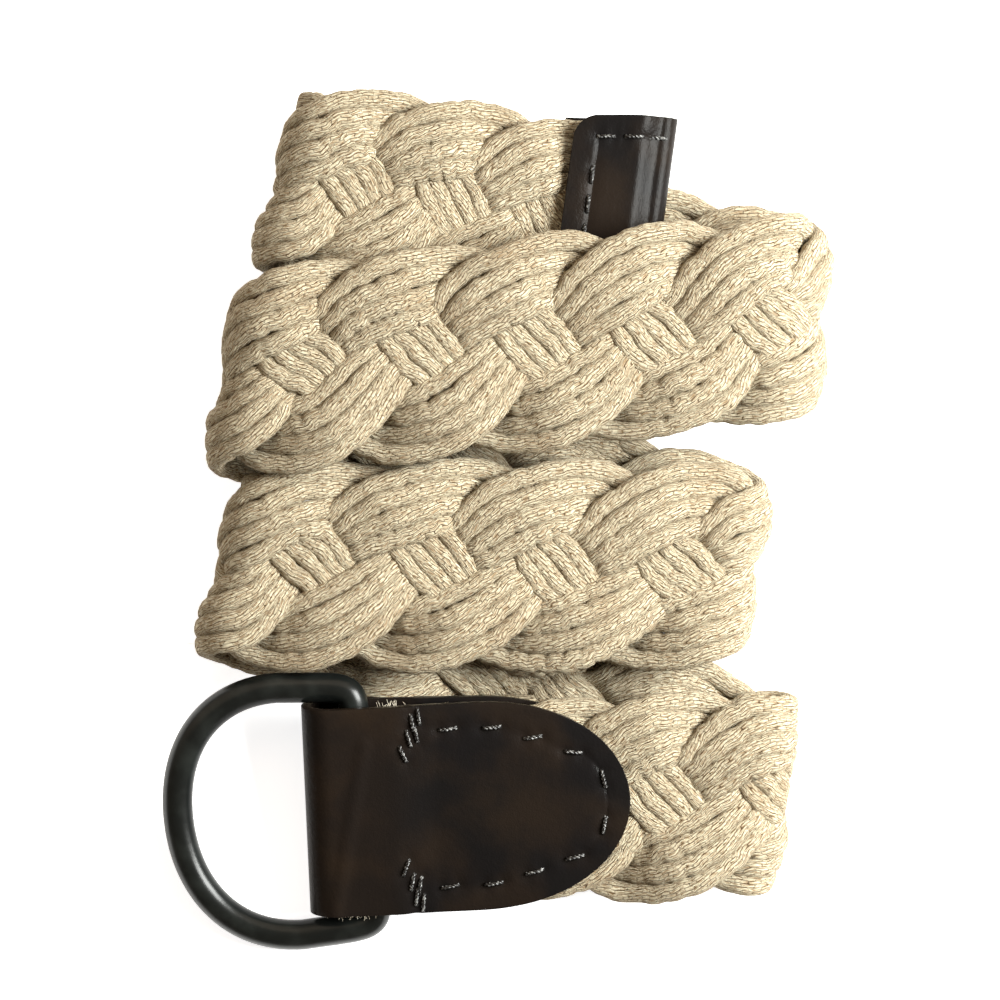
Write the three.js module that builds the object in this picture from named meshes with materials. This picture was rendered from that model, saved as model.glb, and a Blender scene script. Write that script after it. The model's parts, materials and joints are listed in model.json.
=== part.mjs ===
// A rope belt, wound up and lying on a table: a flat cotton plait with a leather tab round a steel D ring
// at one end and a folded leather cap on the other. The plait is one solid, with its four strands as relief.
// Millimetres, +Z up, the table at z = 0. The belt runs to the right in front and back to the left beneath,
// and climbs by one row in +Y at each turn. Its places are worked out in the belt's own terms:
// s along it from the ring end, u across it and h out of its outer face.
import * as THREE from "three";

// The plait
const BELT_WIDTH = 49.5;
const THICKNESS = 8.6;
const GROOVE = 1.5; // depth of the grooves round each crossing
const SCALLOP = 2; // how far the edge draws in between two strands
const EDGE_HALF = 0.42; // height of the plait near its edges, as a share of its full height
const COLUMN = 0.235; // distance from the middle to a side column of crossings, in belt widths

// The leather and the ring
const LEATHER = 2.2;
const TAB_WIDTH = 48;
const TAB_LENGTH = 75; // from the fold round the ring to the end of the tongue
const TAB_LOOP = 25; // from the fold to where the plait begins
const TIP_LENGTH = 23.5;
const TIP_CORNER = 5;
const TIP_EDGE = 2.2; // half of the height of the cap's fold, at the middle of the leather
const WIRE = 7;
const RING_DEPTH = 43.5; // from the middle of the ring's bar to the middle of its round side
const RING_BULGE = 0.3; // how far each arm stands out past the bar's end
const RING_CORNER = 5;
const RING_YAW = 3.2; // degrees that the ring is turned in the tab
const BAR_AT = 13.5; // from the tab's fold to the middle of the ring's bar
const RING_PLAY = 1.7; // between the tab's edge and the ring's arm
const RING_ROOM = 0.9; // between the wire and the leather round it
const GAP = 0.45; // between pieces that touch

// The coil
const COIL_WIDTH = 130;
const ROW_GAP = 0.5;
const FOLD_DRAW = 0.95; // the plait's width at the folds, as a share of its full width
const PRESS = 0.62; // the plait's thickness inside the leather, as a share of its full thickness
const PRESS_END = 0.2; // and at its very end, in the fold of the cap
const PRESS_TAB = { inside: 6, over: 14 }; // it swells again this far inside the tab's end, over this length
const PRESS_CAP = { inside: 3, over: 12 };
const END_ROOM = 5; // from the cap's fold to the plait's end

// The legs of the coil in order from the ring end: where each one ends, across in coil widths and up in belt
// widths, how many crossings of the plait it and its fold take up, and the heights of its lower and upper
// edges at its start and its end, in thicknesses of the plait.
const START = { x: -0.334, y: -1.342 };
const LEGS = [
  { x: 0.452, y: -1.265, crossings: 4.45, startLow: 0.73, startHigh: 1.83, endLow: 1.91, endHigh: 1.91 },
  { x: -0.425, y: -0.288, crossings: 5.12, startLow: 0.5, startHigh: 0.5, endLow: 0.5, endHigh: 0.5 },
  { x: 0.39, y: -0.205, crossings: 4.39, startLow: 1.91, startHigh: 1.91, endLow: 1.91, endHigh: 1.91 },
  { x: -0.385, y: 0.56, crossings: 4.81, startLow: 0.5, startHigh: 0.5, endLow: 0.5, endHigh: 0.5 },
  { x: 0.478, y: 0.929, crossings: 5.35, startLow: 2.6, startHigh: 2.9, endLow: 2.2, endHigh: 3.25 },
  { x: -0.32, y: 1.53, crossings: 4.48, startLow: 0.5, startHigh: 0.5, endLow: 0.5, endHigh: 0.5 },
  { x: 0.298, y: 1.325, crossings: 3.55, startLow: 1.91, startHigh: 1.91, endLow: 1.64, endHigh: 1.64 },
];

const LOOP_FLAP = WIRE / 2 + RING_ROOM + LEATHER / 2; // height of a flap's middle beside the ring's bar
const FLAP = (THICKNESS / 2) * PRESS + GAP + LEATHER / 2; // and beside the plait

const mix = (a, b, t) => a + (b - a) * t;
const clamp = (t) => Math.min(1, Math.max(0, t));
const smooth = (t) => clamp(t) ** 2 * (3 - 2 * clamp(t));
const radians = (degrees) => (degrees * Math.PI) / 180;

// The legs in plan. Each fold's axis halves the angle between its two legs, and the belt slips along that
// axis as it goes round, so the next leg's start and direction settle together.
function layLegs() {
  const onTable = (point) => new THREE.Vector2(point.x * COIL_WIDTH, point.y * BELT_WIDTH);
  const legs = LEGS.map((row) => ({ ...row, end: onTable(row) }));
  let start = onTable(START);
  let [s, phase] = [0, 0];
  legs.forEach((leg, i) => {
    leg.front = i % 2 === 0;
    leg.start = start;
    leg.s = s;
    leg.phase = phase;
    phase += leg.crossings;
    leg.length = leg.end.distanceTo(start);
    leg.along = leg.end.clone().sub(start).normalize();
    leg.across = new THREE.Vector2(-leg.along.y, leg.along.x).multiplyScalar(leg.front ? 1 : -1);
    const next = legs[i + 1];
    if (!next) return;
    leg.radius = (THICKNESS * Math.abs(leg.endLow + leg.endHigh - next.startLow - next.startHigh)) / 4;
    leg.round = Math.PI * leg.radius;
    let exit = leg.end.clone();
    for (let pass = 0; pass < 8; pass++) {
      const onward = next.end.clone().sub(exit).normalize();
      leg.axis = leg.along.clone().add(onward).normalize();
      leg.out = new THREE.Vector2(leg.axis.y, -leg.axis.x).multiplyScalar(leg.front ? 1 : -1);
      const slip = (leg.round * leg.along.dot(leg.axis)) / leg.along.dot(leg.out);
      exit = leg.end.clone().addScaledVector(leg.axis, slip);
    }
    s += leg.length + leg.round / leg.along.dot(leg.out);
    start = exit;
  });
  return legs;
}

const legs = layLegs();
const LENGTH = legs.at(-1).s + legs.at(-1).length;

// The plait's phase counts its crossings along the belt. Each leg is drawn out or pushed together on its own.
function phaseAt(s) {
  const leg = legs.findLast((each) => each.s <= s) ?? legs[0];
  const end = legs[legs.indexOf(leg) + 1]?.s ?? LENGTH;
  return leg.phase + (leg.crossings * (s - leg.s)) / (end - leg.s);
}

function lengthAt(phase) {
  const leg = legs.findLast((each) => each.phase <= phase) ?? legs[0];
  const end = legs[legs.indexOf(leg) + 1]?.s ?? LENGTH;
  return leg.s + ((end - leg.s) * (phase - leg.phase)) / leg.crossings;
}

// The legs beneath slant, so they lie closer together than the rows, and the plait is drawn narrower there.
function backDraw() {
  const backs = legs.filter((leg) => !leg.front);
  let room = BELT_WIDTH;
  for (let i = 1; i < backs.length; i++)
    for (const [leg, other] of [[backs[i], backs[i - 1]], [backs[i - 1], backs[i]]])
      for (const point of [leg.start, leg.end])
        room = Math.min(room, Math.abs(point.clone().sub(other.start).dot(other.across)));
  return Math.min(FOLD_DRAW, (room - ROW_GAP) / BELT_WIDTH);
}
const BACK_DRAW = backDraw();

// The plait's width at s, as a share of its full width.
function drawAt(s) {
  for (const leg of legs) {
    const along = s - leg.s;
    if (along <= leg.length || leg === legs.at(-1))
      return leg.front ? mix(FOLD_DRAW, 1, Math.sin(Math.PI * clamp(along / leg.length))) : BACK_DRAW;
    const round = leg.round / leg.along.dot(leg.out);
    if (along < leg.length + round) {
      const t = smooth((along - leg.length) / round);
      return leg.front ? mix(FOLD_DRAW, BACK_DRAW, t) : mix(BACK_DRAW, FOLD_DRAW, t);
    }
  }
}

function legHeight(leg, along, u) {
  const t = smooth(along / leg.length);
  const low = mix(leg.startLow, leg.endLow, t);
  const high = mix(leg.startHigh, leg.endHigh, t);
  return THICKNESS * ((low + high) / 2 + ((high - low) * u) / BELT_WIDTH);
}

// The belt's middle surface: a leg lies as its heights say, and a fold is a half turn about its axis.
function middle(s, u) {
  for (const [i, leg] of legs.entries()) {
    const along = s - leg.s;
    const flat = leg.start.clone().addScaledVector(leg.along, along).addScaledVector(leg.across, u);
    const next = legs[i + 1];
    const over = next ? flat.clone().sub(leg.end).dot(leg.out) : 0;
    if (next && over >= leg.round) continue;
    const height = legHeight(leg, along, u);
    if (over <= 0) return new THREE.Vector3(flat.x, flat.y, height);
    const turn = over / leg.radius;
    flat.addScaledVector(leg.out, leg.radius * Math.sin(turn) - over);
    const below = legHeight(next, 0, u);
    return new THREE.Vector3(flat.x, flat.y, mix(below, height, (1 + Math.cos(turn)) / 2));
  }
}

const STEP = 0.02;
function outward(s, u) {
  const alongS = middle(s + STEP, u).sub(middle(s - STEP, u));
  const alongU = middle(s, u + STEP).sub(middle(s, u - STEP));
  return alongS.cross(alongU).normalize();
}

// A point of the belt in the part's frame.
const place = (s, u, h) => middle(s, u).addScaledVector(outward(s, u), h);

// A solid through sections of the same number of points, capped at both ends.
function loft(sections) {
  const count = sections[0].length;
  const positions = sections.flat().flatMap((p) => [p.x, p.y, p.z]);
  const faces = [];
  for (let i = 0; i + 1 < sections.length; i++)
    for (let j = 0; j < count; j++) {
      const a = i * count + j;
      const b = i * count + ((j + 1) % count);
      faces.push(a, b, b + count, a, b + count, a + count);
    }
  const last = (sections.length - 1) * count;
  for (let j = 1; j + 1 < count; j++) {
    faces.push(0, j + 1, j);
    faces.push(last, last + j, last + j + 1);
  }
  return new THREE.BufferGeometry()
    .setAttribute("position", new THREE.Float32BufferAttribute(positions, 3))
    .setIndex(faces);
}

const PLAIT_START = TAB_LOOP;
const PLAIT_END = LENGTH - LEATHER - TIP_EDGE - GAP - END_ROOM;

// How far the leather presses the plait together at s, as a share of its full thickness.
function pressAt(s) {
  const fromTab = smooth((s - TAB_LENGTH + PRESS_TAB.inside) / PRESS_TAB.over);
  const fromTip = smooth((LENGTH - TIP_LENGTH + PRESS_CAP.inside - s) / PRESS_CAP.over);
  const atTip = mix(PRESS_END, PRESS, clamp((LENGTH - s) / TIP_LENGTH));
  return Math.min(mix(PRESS, 1, fromTab), mix(atTip, 1, fromTip));
}

// 1 on the crest of a crossing and 0 in the grooves round it. The crossings stand on a lattice of three
// columns, the side ones half a pitch from the middle one's. Past the side columns each strand runs on to the
// belt's edge, the rising ones on the outer face and the falling ones on the inner.
function crest(phase, u, side) {
  const column = u / (2 * COLUMN * BELT_WIDTH);
  const strand = Math.abs(Math.cos(Math.PI * (phase - side * column)));
  const crossed = Math.abs(Math.cos(Math.PI * (phase + side * column)));
  return strand * mix(crossed, 1, smooth(4 * Math.abs(column) - 2));
}

// Places across the plait's face: the columns of crossings, the grooves between and a shoulder by each edge.
const FACE = [-2, -1.55, -1, -0.5, 0, 0.5, 1, 1.55, 2].map((column) => column * COLUMN * BELT_WIDTH);

function plaitSection(phase) {
  const s = lengthAt(phase);
  const press = pressAt(s);
  const draw = drawAt(s);
  const edge = BELT_WIDTH / 2 - SCALLOP * Math.sin(Math.PI * phase) ** 2;
  const face = (side) => FACE.slice(1, -1).map((u) => {
    const shoulder = mix(1, EDGE_HALF, clamp((Math.abs(u) / BELT_WIDTH / COLUMN - 1) * 1.2) ** 2);
    const height = (THICKNESS / 2) * shoulder - GROOVE * (1 - crest(phase, u, side));
    return place(s, u * draw, side * press * height);
  });
  return [place(s, -edge * draw, 0), ...face(-1), place(s, edge * draw, 0), ...face(1).reverse()];
}

// Stations along the plait, eight to a crossing, so that each crest and groove has its own.
function plaitGeometry() {
  const sections = [];
  for (let i = Math.ceil(8 * phaseAt(PLAIT_START)); i < 8 * phaseAt(PLAIT_END); i++)
    sections.push(plaitSection(i / 8));
  return loft(sections);
}

// A strip of leather along a path of { s, h, half } in the belt's terms, half being half of its width.
function leatherGeometry(path) {
  const sections = path.map((at, i) => {
    const before = path[Math.max(0, i - 1)];
    const after = path[Math.min(path.length - 1, i + 1)];
    const run = Math.hypot(after.s - before.s, after.h - before.h);
    const outS = (-(after.h - before.h) / run) * (LEATHER / 2);
    const outH = ((after.s - before.s) / run) * (LEATHER / 2);
    return [[1, 1], [-1, 1], [-1, -1], [1, -1]].map(([side, face]) =>
      place(at.s + face * outS, side * at.half, at.h + face * outH));
  });
  return loft(sections);
}

// Half of the tongue's width at a distance from its round end.
const tongueHalf = (fromEnd) => {
  const round = TAB_WIDTH / 2;
  const t = clamp(fromEnd / (round * 1.5));
  return round * Math.sqrt(1 - (1 - t) ** 2.2);
};

const TAB_STATIONS = 16;
const CAP_STATIONS = 8;
const FOLD_STATIONS = 8;
const RING_STATIONS = 56;
const RING_SIDES = 10;

// The tab: from the upper tongue's end to the fold round the ring's bar and back to the lower tongue's end.
function tabPath() {
  const flapHeight = (s) => mix(LOOP_FLAP, FLAP, smooth((s - BAR_AT - WIRE) / (TAB_LOOP - BAR_AT)));
  const foldAt = LOOP_FLAP + LEATHER / 2;
  const flap = [];
  for (let i = 0; i < TAB_STATIONS; i++) {
    const t = (i + 0.15) / TAB_STATIONS;
    const fromEnd = (TAB_LENGTH - foldAt) * t ** 1.6;
    const s = TAB_LENGTH - fromEnd;
    flap.push({ s, h: flapHeight(s), half: tongueHalf(fromEnd) });
  }
  const fold = [];
  for (let i = 0; i <= FOLD_STATIONS; i++) {
    const turn = (Math.PI * i) / FOLD_STATIONS;
    fold.push({
      s: foldAt - LOOP_FLAP * Math.sin(turn),
      h: LOOP_FLAP * Math.cos(turn),
      half: TAB_WIDTH / 2,
    });
  }
  const under = flap.map((at) => ({ ...at, h: -at.h })).reverse();
  return [...flap, ...fold, ...under];
}

// The cap: a short piece folded over the belt's other end, its free corners rounded.
function capPath() {
  const foldAt = LENGTH - TIP_EDGE - LEATHER / 2;
  const edgeAt = LENGTH - TIP_LENGTH;
  const flap = [];
  for (let i = 0; i < CAP_STATIONS; i++) {
    const t = ((i + 0.1) / CAP_STATIONS) ** 1.5;
    const fromEdge = (foldAt - edgeAt) * t;
    const intoCorner = clamp(1 - fromEdge / TIP_CORNER);
    const half = TAB_WIDTH / 2 - TIP_CORNER * (1 - Math.sqrt(1 - intoCorner ** 2));
    flap.push({ s: edgeAt + fromEdge, h: mix(FLAP + GAP, TIP_EDGE, smooth(t)), half });
  }
  const fold = [];
  for (let i = 0; i <= FOLD_STATIONS; i++) {
    const turn = (Math.PI * i) / FOLD_STATIONS;
    fold.push({
      s: foldAt + TIP_EDGE * Math.sin(turn),
      h: TIP_EDGE * Math.cos(turn),
      half: TAB_WIDTH / 2,
    });
  }
  const under = flap.map((at) => ({ ...at, h: -at.h })).reverse();
  return [...flap, ...fold, ...under].reverse();
}

// The ring's line in its own plane: its bar along Y at x = 0, its round side towards +X.
function ringLine() {
  const halfBar = TAB_WIDTH / 2 + RING_PLAY + WIRE / 2;
  const wide = halfBar + RING_BULGE;
  const shape = new THREE.Path();
  shape.moveTo(0, -halfBar + RING_CORNER);
  shape.lineTo(0, halfBar - RING_CORNER);
  shape.bezierCurveTo(0, halfBar, RING_CORNER, wide - 1, RING_DEPTH * 0.4, wide);
  shape.bezierCurveTo(RING_DEPTH * 0.76, wide, RING_DEPTH, wide * 0.6, RING_DEPTH, 0);
  shape.bezierCurveTo(RING_DEPTH, -wide * 0.6, RING_DEPTH * 0.76, -wide, RING_DEPTH * 0.4, -wide);
  shape.bezierCurveTo(RING_CORNER, -wide + 1, 0, -halfBar, 0, -halfBar + RING_CORNER);
  return shape.getSpacedPoints(48).slice(0, -1).map((p) => new THREE.Vector3(p.x, p.y, 0));
}

function material(color, roughness, metalness) {
  return new THREE.MeshStandardMaterial({ color, roughness, metalness });
}

const cotton = material(0xd9c7a3, 0.95, 0);
const leather = material(0x231c19, 0.45, 0);
const steel = material(0x2b2e2d, 0.3, 1);

const belt = new THREE.Group();

function add(name, geometry, finish) {
  const mesh = new THREE.Mesh(geometry, finish);
  mesh.name = name;
  belt.add(mesh);
  return mesh;
}

add("plait", plaitGeometry(), cotton);
add("ring_tab", leatherGeometry(tabPath()), leather);
add("tip_cap", leatherGeometry(capPath()), leather);

const ringCurve = new THREE.CatmullRomCurve3(ringLine(), true);
const ringTube = new THREE.TubeGeometry(ringCurve, RING_STATIONS, WIRE / 2, RING_SIDES, true);
const ring = add("d_ring", ringTube, steel);
const normal = outward(BAR_AT, 0);
const away = middle(BAR_AT - 1, 0).sub(middle(BAR_AT, 0)).normalize();
const tabTurn = new THREE.Quaternion().setFromRotationMatrix(
  new THREE.Matrix4().makeBasis(away, normal.clone().cross(away), normal));
const yaw = new THREE.Quaternion().setFromAxisAngle(new THREE.Vector3(0, 0, 1), radians(RING_YAW));
ring.position.copy(place(BAR_AT, 0, 0));

// The ring hangs from its bar until its round side lies on the table.
function swingRing(degrees) {
  const droop = new THREE.Quaternion().setFromAxisAngle(new THREE.Vector3(0, 1, 0), radians(degrees));
  ring.quaternion.copy(tabTurn).multiply(yaw).multiply(droop);
  ring.updateMatrixWorld(true);
  return new THREE.Box3().setFromObject(ring, true).min.z;
}
let [high, low] = [-45, 45];
for (let pass = 0; pass < 30; pass++)
  if (swingRing((high + low) / 2) > 0) high = (high + low) / 2;
  else low = (high + low) / 2;

// The origin is the middle of the base.
belt.updateMatrixWorld(true);
const bounds = new THREE.Box3().setFromObject(belt, true);
belt.position.set(
  -(bounds.min.x + bounds.max.x) / 2,
  -(bounds.min.y + bounds.max.y) / 2,
  0,
);

export default belt;
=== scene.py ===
# %% [markdown]
# # A rope belt, wound up on a table
#
# The belt is a flat plait of cream cotton. Sixteen cords run side by side in four strands, and each
# strand crosses the belt from edge to edge, over one neighbour and under the next. One end is sewn into a
# dark leather tab that holds a black D ring, the other into a small leather cap. The belt lies wound up,
# seen from straight above.
#
# Everything here is in metres. The CAD model gives the frame: its nodes stand where the pieces go.

# %% Load the frame
import json
from math import pi, radians

import bpy
import numpy as np
from mathutils import Matrix, Vector


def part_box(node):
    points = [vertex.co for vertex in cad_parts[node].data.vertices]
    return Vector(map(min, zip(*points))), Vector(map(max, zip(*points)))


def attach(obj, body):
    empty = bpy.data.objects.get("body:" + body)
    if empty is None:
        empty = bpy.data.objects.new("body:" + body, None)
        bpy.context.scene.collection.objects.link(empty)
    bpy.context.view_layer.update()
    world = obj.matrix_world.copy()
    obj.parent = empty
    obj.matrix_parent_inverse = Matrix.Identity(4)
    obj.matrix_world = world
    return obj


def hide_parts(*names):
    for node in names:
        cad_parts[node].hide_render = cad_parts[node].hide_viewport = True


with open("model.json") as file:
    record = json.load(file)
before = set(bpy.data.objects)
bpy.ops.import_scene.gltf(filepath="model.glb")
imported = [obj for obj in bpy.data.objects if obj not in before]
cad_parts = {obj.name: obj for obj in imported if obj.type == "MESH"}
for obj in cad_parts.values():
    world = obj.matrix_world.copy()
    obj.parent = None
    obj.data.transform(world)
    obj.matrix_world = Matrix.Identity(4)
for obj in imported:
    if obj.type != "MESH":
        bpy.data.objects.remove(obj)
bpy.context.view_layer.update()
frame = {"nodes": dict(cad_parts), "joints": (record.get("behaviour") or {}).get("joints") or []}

# %% [markdown]
# ## The belt's own sizes
#
# A belt is easiest to describe flat, before it is wound up: s runs along it, u across it and h out of its
# face. These are the sizes of the flat belt and the table of the seven legs that it is folded into. They
# are the same as in the CAD source, so that every piece lands on the solid that it dresses.

# %% Sizes of the plait, the leather and the ring
MM = 0.001
BELT_WIDTH = 49.5 * MM
THICKNESS = 8.6 * MM
COIL_WIDTH = 130 * MM
ROW_GAP = 0.5 * MM
FOLD_DRAW = 0.95
PRESS = 0.62
PRESS_END = 0.2
PRESS_TAB = {"inside": 6 * MM, "over": 14 * MM}
PRESS_CAP = {"inside": 3 * MM, "over": 12 * MM}
END_ROOM = 5 * MM

LEATHER = 2.2 * MM
GAP = 0.45 * MM
TAB_WIDTH = 48 * MM
TAB_LENGTH = 75 * MM
TAB_LOOP = 25 * MM
TIP_LENGTH = 23.5 * MM
TIP_CORNER = 5 * MM
TIP_EDGE = 2.2 * MM

WIRE = 7 * MM
RING_ROOM = 0.9 * MM
RING_DEPTH = 43.5 * MM
RING_BULGE = 0.3 * MM
RING_CORNER = 5 * MM
BAR_AT = 13.5 * MM
RING_PLAY = 1.7 * MM

LOOP_FLAP = WIRE / 2 + RING_ROOM + LEATHER / 2
FLAP = THICKNESS / 2 * PRESS + GAP + LEATHER / 2

# %% The legs of the coil, from the ring end
AXIS_ROUNDS = 8
START = (-0.334, -1.342)
LEG_COLUMNS = ("x", "y", "crossings", "start_low", "start_high", "end_low", "end_high")
LEGS = [
    (0.452, -1.265, 4.45, 0.73, 1.83, 1.91, 1.91),
    (-0.425, -0.288, 5.12, 0.5, 0.5, 0.5, 0.5),
    (0.39, -0.205, 4.39, 1.91, 1.91, 1.91, 1.91),
    (-0.385, 0.56, 4.81, 0.5, 0.5, 0.5, 0.5),
    (0.478, 0.929, 5.35, 2.6, 2.9, 2.2, 3.25),
    (-0.32, 1.53, 4.48, 0.5, 0.5, 0.5, 0.5),
    (0.298, 1.325, 3.55, 1.91, 1.91, 1.64, 1.64),
]


def unit(v):
    return v / np.linalg.norm(v)


def lay_legs():
    """Each leg's place on the table: the fold's axis halves the angle between two legs."""
    legs = [dict(zip(LEG_COLUMNS, row)) for row in LEGS]
    scale = np.array([COIL_WIDTH, BELT_WIDTH])
    start = np.array(START) * scale
    s = phase = 0.0
    for leg in legs:
        leg["end"] = np.array([leg["x"], leg["y"]]) * scale
    for i, leg in enumerate(legs):
        leg["front"] = i % 2 == 0
        side = 1 if leg["front"] else -1
        leg["start"], leg["s"], leg["phase"] = start, s, phase
        phase += leg["crossings"]
        leg["length"] = np.linalg.norm(leg["end"] - start)
        leg["along"] = unit(leg["end"] - start)
        leg["across"] = side * np.array([-leg["along"][1], leg["along"][0]])
        leg["end_s"] = s + leg["length"]
        if i + 1 == len(legs):
            break
        after = legs[i + 1]
        heights = leg["end_low"] + leg["end_high"] - after["start_low"] - after["start_high"]
        leg["radius"] = THICKNESS * abs(heights) / 4
        leg["round"] = pi * leg["radius"]
        exit_at = leg["end"]
        for _ in range(AXIS_ROUNDS):
            leg["axis"] = unit(leg["along"] + unit(after["end"] - exit_at))
            leg["out"] = side * np.array([leg["axis"][1], -leg["axis"][0]])
            slip = leg["round"] * leg["along"] @ leg["axis"] / (leg["along"] @ leg["out"])
            exit_at = leg["end"] + leg["axis"] * slip
        s += leg["length"] + leg["round"] / (leg["along"] @ leg["out"])
        leg["end_s"] = s
        start = exit_at
    return legs


legs = lay_legs()
LENGTH = legs[-1]["end_s"]
PLAIT_START = TAB_LOOP
PLAIT_END = LENGTH - LEATHER - TIP_EDGE - GAP - END_ROOM
print("the belt without its ring is", round(LENGTH, 4), "m long")

# %% [markdown]
# ## From the flat belt to the coil
#
# The next functions turn (s, u, h) into a place on the table. On a leg the belt is flat; at a fold it
# goes half a turn round the fold's axis. They take whole arrays of points at once, because numpy moves a
# hundred thousand points as fast as Python moves a few dozen.


# %% Places on the coil
def mix(a, b, t):
    return a + (b - a) * t


def smooth(t):
    t = np.clip(t, 0, 1)
    return t * t * (3 - 2 * t)


def back_draw():
    """How narrow the plait is drawn on the legs beneath, which lie closer together."""
    backs = [leg for leg in legs if not leg["front"]]
    room = BELT_WIDTH
    for a, b in zip(backs, backs[1:]):
        for leg, other in ((a, b), (b, a)):
            for point in (leg["start"], leg["end"]):
                room = min(room, abs((point - other["start"]) @ other["across"]))
    return min(FOLD_DRAW, (room - ROW_GAP) / BELT_WIDTH)


BACK_DRAW = back_draw()


def draw_at(s):
    """The plait's width at s, as a share of its full width."""
    share = np.full(s.shape, np.nan)
    for leg in legs:
        along = s - leg["s"]
        flat = FOLD_DRAW + (1 - FOLD_DRAW) * np.sin(pi * np.clip(along / leg["length"], 0, 1))
        here = flat if leg["front"] else np.full(s.shape, BACK_DRAW)
        if leg is not legs[-1]:
            t = smooth((along - leg["length"]) / (leg["end_s"] - leg["s"] - leg["length"]))
            ends = (FOLD_DRAW, BACK_DRAW) if leg["front"] else (BACK_DRAW, FOLD_DRAW)
            here = np.where(along > leg["length"], mix(*ends, t), here)
        share = np.where(np.isnan(share) & ((s < leg["end_s"]) | (leg is legs[-1])), here, share)
    return share


def leg_height(leg, along, u):
    t = smooth(along / leg["length"])
    low = mix(leg["start_low"], leg["end_low"], t)
    high = mix(leg["start_high"], leg["end_high"], t)
    return THICKNESS * ((low + high) / 2 + (high - low) * u / BELT_WIDTH)


def middle(s, u):
    """Points of the belt's middle surface, before the coil is put in its place."""
    point = np.zeros(s.shape + (3,))
    free = np.ones(s.shape, bool)
    for i, leg in enumerate(legs):
        along = s - leg["s"]
        flat = leg["start"] + along[..., None] * leg["along"] + u[..., None] * leg["across"]
        height = leg_height(leg, along, u)
        if i + 1 < len(legs):
            over = (flat - leg["end"]) @ leg["out"]
            here = free & (over < leg["round"])
            bent = np.maximum(over, 0)
            turn = bent / leg["radius"]
            flat = flat + (leg["radius"] * np.sin(turn) - bent)[..., None] * leg["out"]
            height = mix(leg_height(legs[i + 1], 0 * s, u), height, (1 + np.cos(turn)) / 2)
        else:
            here = free
        point[here] = np.column_stack((flat, height))[here]
        free = free & ~here
    return point


STEP = 0.02 * MM


def outward(s, u):
    """The belt's outward direction at each point."""
    along_s = middle(s + STEP, u) - middle(s - STEP, u)
    along_u = middle(s, u + STEP) - middle(s, u - STEP)
    out = np.cross(along_s, along_u)
    return out / np.linalg.norm(out, axis=-1, keepdims=True)


def raw_place(s, u, h):
    s, u, h = (np.ravel(v).astype(float) for v in np.broadcast_arrays(s, u, h))
    return middle(s, u) + outward(s, u) * h[:, None]


# %% [markdown]
# The frame's origin is the middle of the whole model's base, and the legs' table doesn't know where that
# is. The tab's fold does: its outermost corner is worked out here, and set on the same corner of the CAD
# tab's box.

# %% Put the coil where the frame's tab is
fold_turn = pi * np.arange(9) / 8
outer = LOOP_FLAP + LEATHER / 2
fold_s = outer - outer * np.sin(fold_turn)
fold_h = outer * np.cos(fold_turn)
corners = np.vstack([raw_place(fold_s, side * TAB_WIDTH / 2, fold_h) for side in (-1, 1)])
low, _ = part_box("ring_tab")
OFFSET = np.array([low[0] - corners[:, 0].min(), low[1] - corners[:, 1].min(), 0])
print("the coil is moved by", [round(v, 5) for v in OFFSET])


TIP_SWAY = 3 * MM
SWAY_OVER = TIP_LENGTH + 8 * MM


def place(s, u, h):
    """Points of the belt in the frame, an array of (x, y, z). The last stretch sways a little across."""
    sway = TIP_SWAY * smooth((s - LENGTH + SWAY_OVER) / SWAY_OVER)
    return raw_place(s, u + sway, h) + OFFSET


def phase_at(s):
    """How many crossings of the plait lie before s."""
    knots = [leg["s"] for leg in legs] + [LENGTH]
    phases = [leg["phase"] for leg in legs] + [legs[-1]["phase"] + legs[-1]["crossings"]]
    return np.interp(s, knots, phases)


def press_at(s):
    """The plait's thickness inside the leather, as a share of its full thickness."""
    at_tip = mix(PRESS_END, PRESS, np.clip((LENGTH - s) / TIP_LENGTH, 0, 1))
    past_tab = s - TAB_LENGTH + PRESS_TAB["inside"]
    before_cap = LENGTH - TIP_LENGTH + PRESS_CAP["inside"] - s
    from_tab = mix(PRESS, 1, smooth(past_tab / PRESS_TAB["over"]))
    from_tip = mix(at_tip, 1, smooth(before_cap / PRESS_CAP["over"]))
    return np.minimum(from_tab, from_tip)


# %% [markdown]
# ## One cord of the plait
#
# A strand swings from edge to edge like a cosine wave, one full swing for every four crossings. It takes
# longer on its way up than on its way down, so it rises at a low angle and falls at a steep one. Rising,
# it lies over, under and over the strands that come down, and falling the reverse. The long visible
# stretches at the edges swell up like leaves and overlap like tiles. The short ones in the middle stay
# low and narrow, as blocks between them.

# %% How a strand lies
STRANDS = 4
CORDS = 4
EDGE_CORD = (CORDS - 1) / 2
CORD_WIDTH = 4.85 * MM
CORD_HEIGHT = 4.1 * MM
CORD_SQUARE = 0.77
CORD_CLOSE = 0.87
CORD_SQUEEZE = 0.5
EDGE_ROOM = 0.3 * MM
SWING = BELT_WIDTH / 2 - 2 * CORD_WIDTH * CORD_CLOSE - EDGE_ROOM
CROSS = 1.3 * MM
LEAF_DOME = 1.2 * MM
LEAF_ARCH = 1.55 * MM
LEAF_TILT = 0.45 * MM
LEAF_SPREAD = 0.05
SKEW = 0.22
TIP_SHIFT = 1.2 * MM
DIVE_REACH = 0.2
ROW_DRIFT = (5.5 * MM, -3.5 * MM)
DRIFT_ENDS = 7
TURN_COLUMNS = ("phase", "half", "way", "swell", "narrow", "shift")
TURNS = [
    (0, 0.3, 1, 1, 0, 0),
    (0.83, 0.08, -1, 0, 0.22, 1),
    (1.17, 0.08, 1, 1, 0.22, -1),
    (2, 0.3, -1, 1, 0, 0),
    (2.74, 0.08, 1, 0, 0.24, 0),
    (3.26, 0.08, -1, 1, 0.24, 0),
    (4, 0.3, 1, 1, 0, 0),
]
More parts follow.
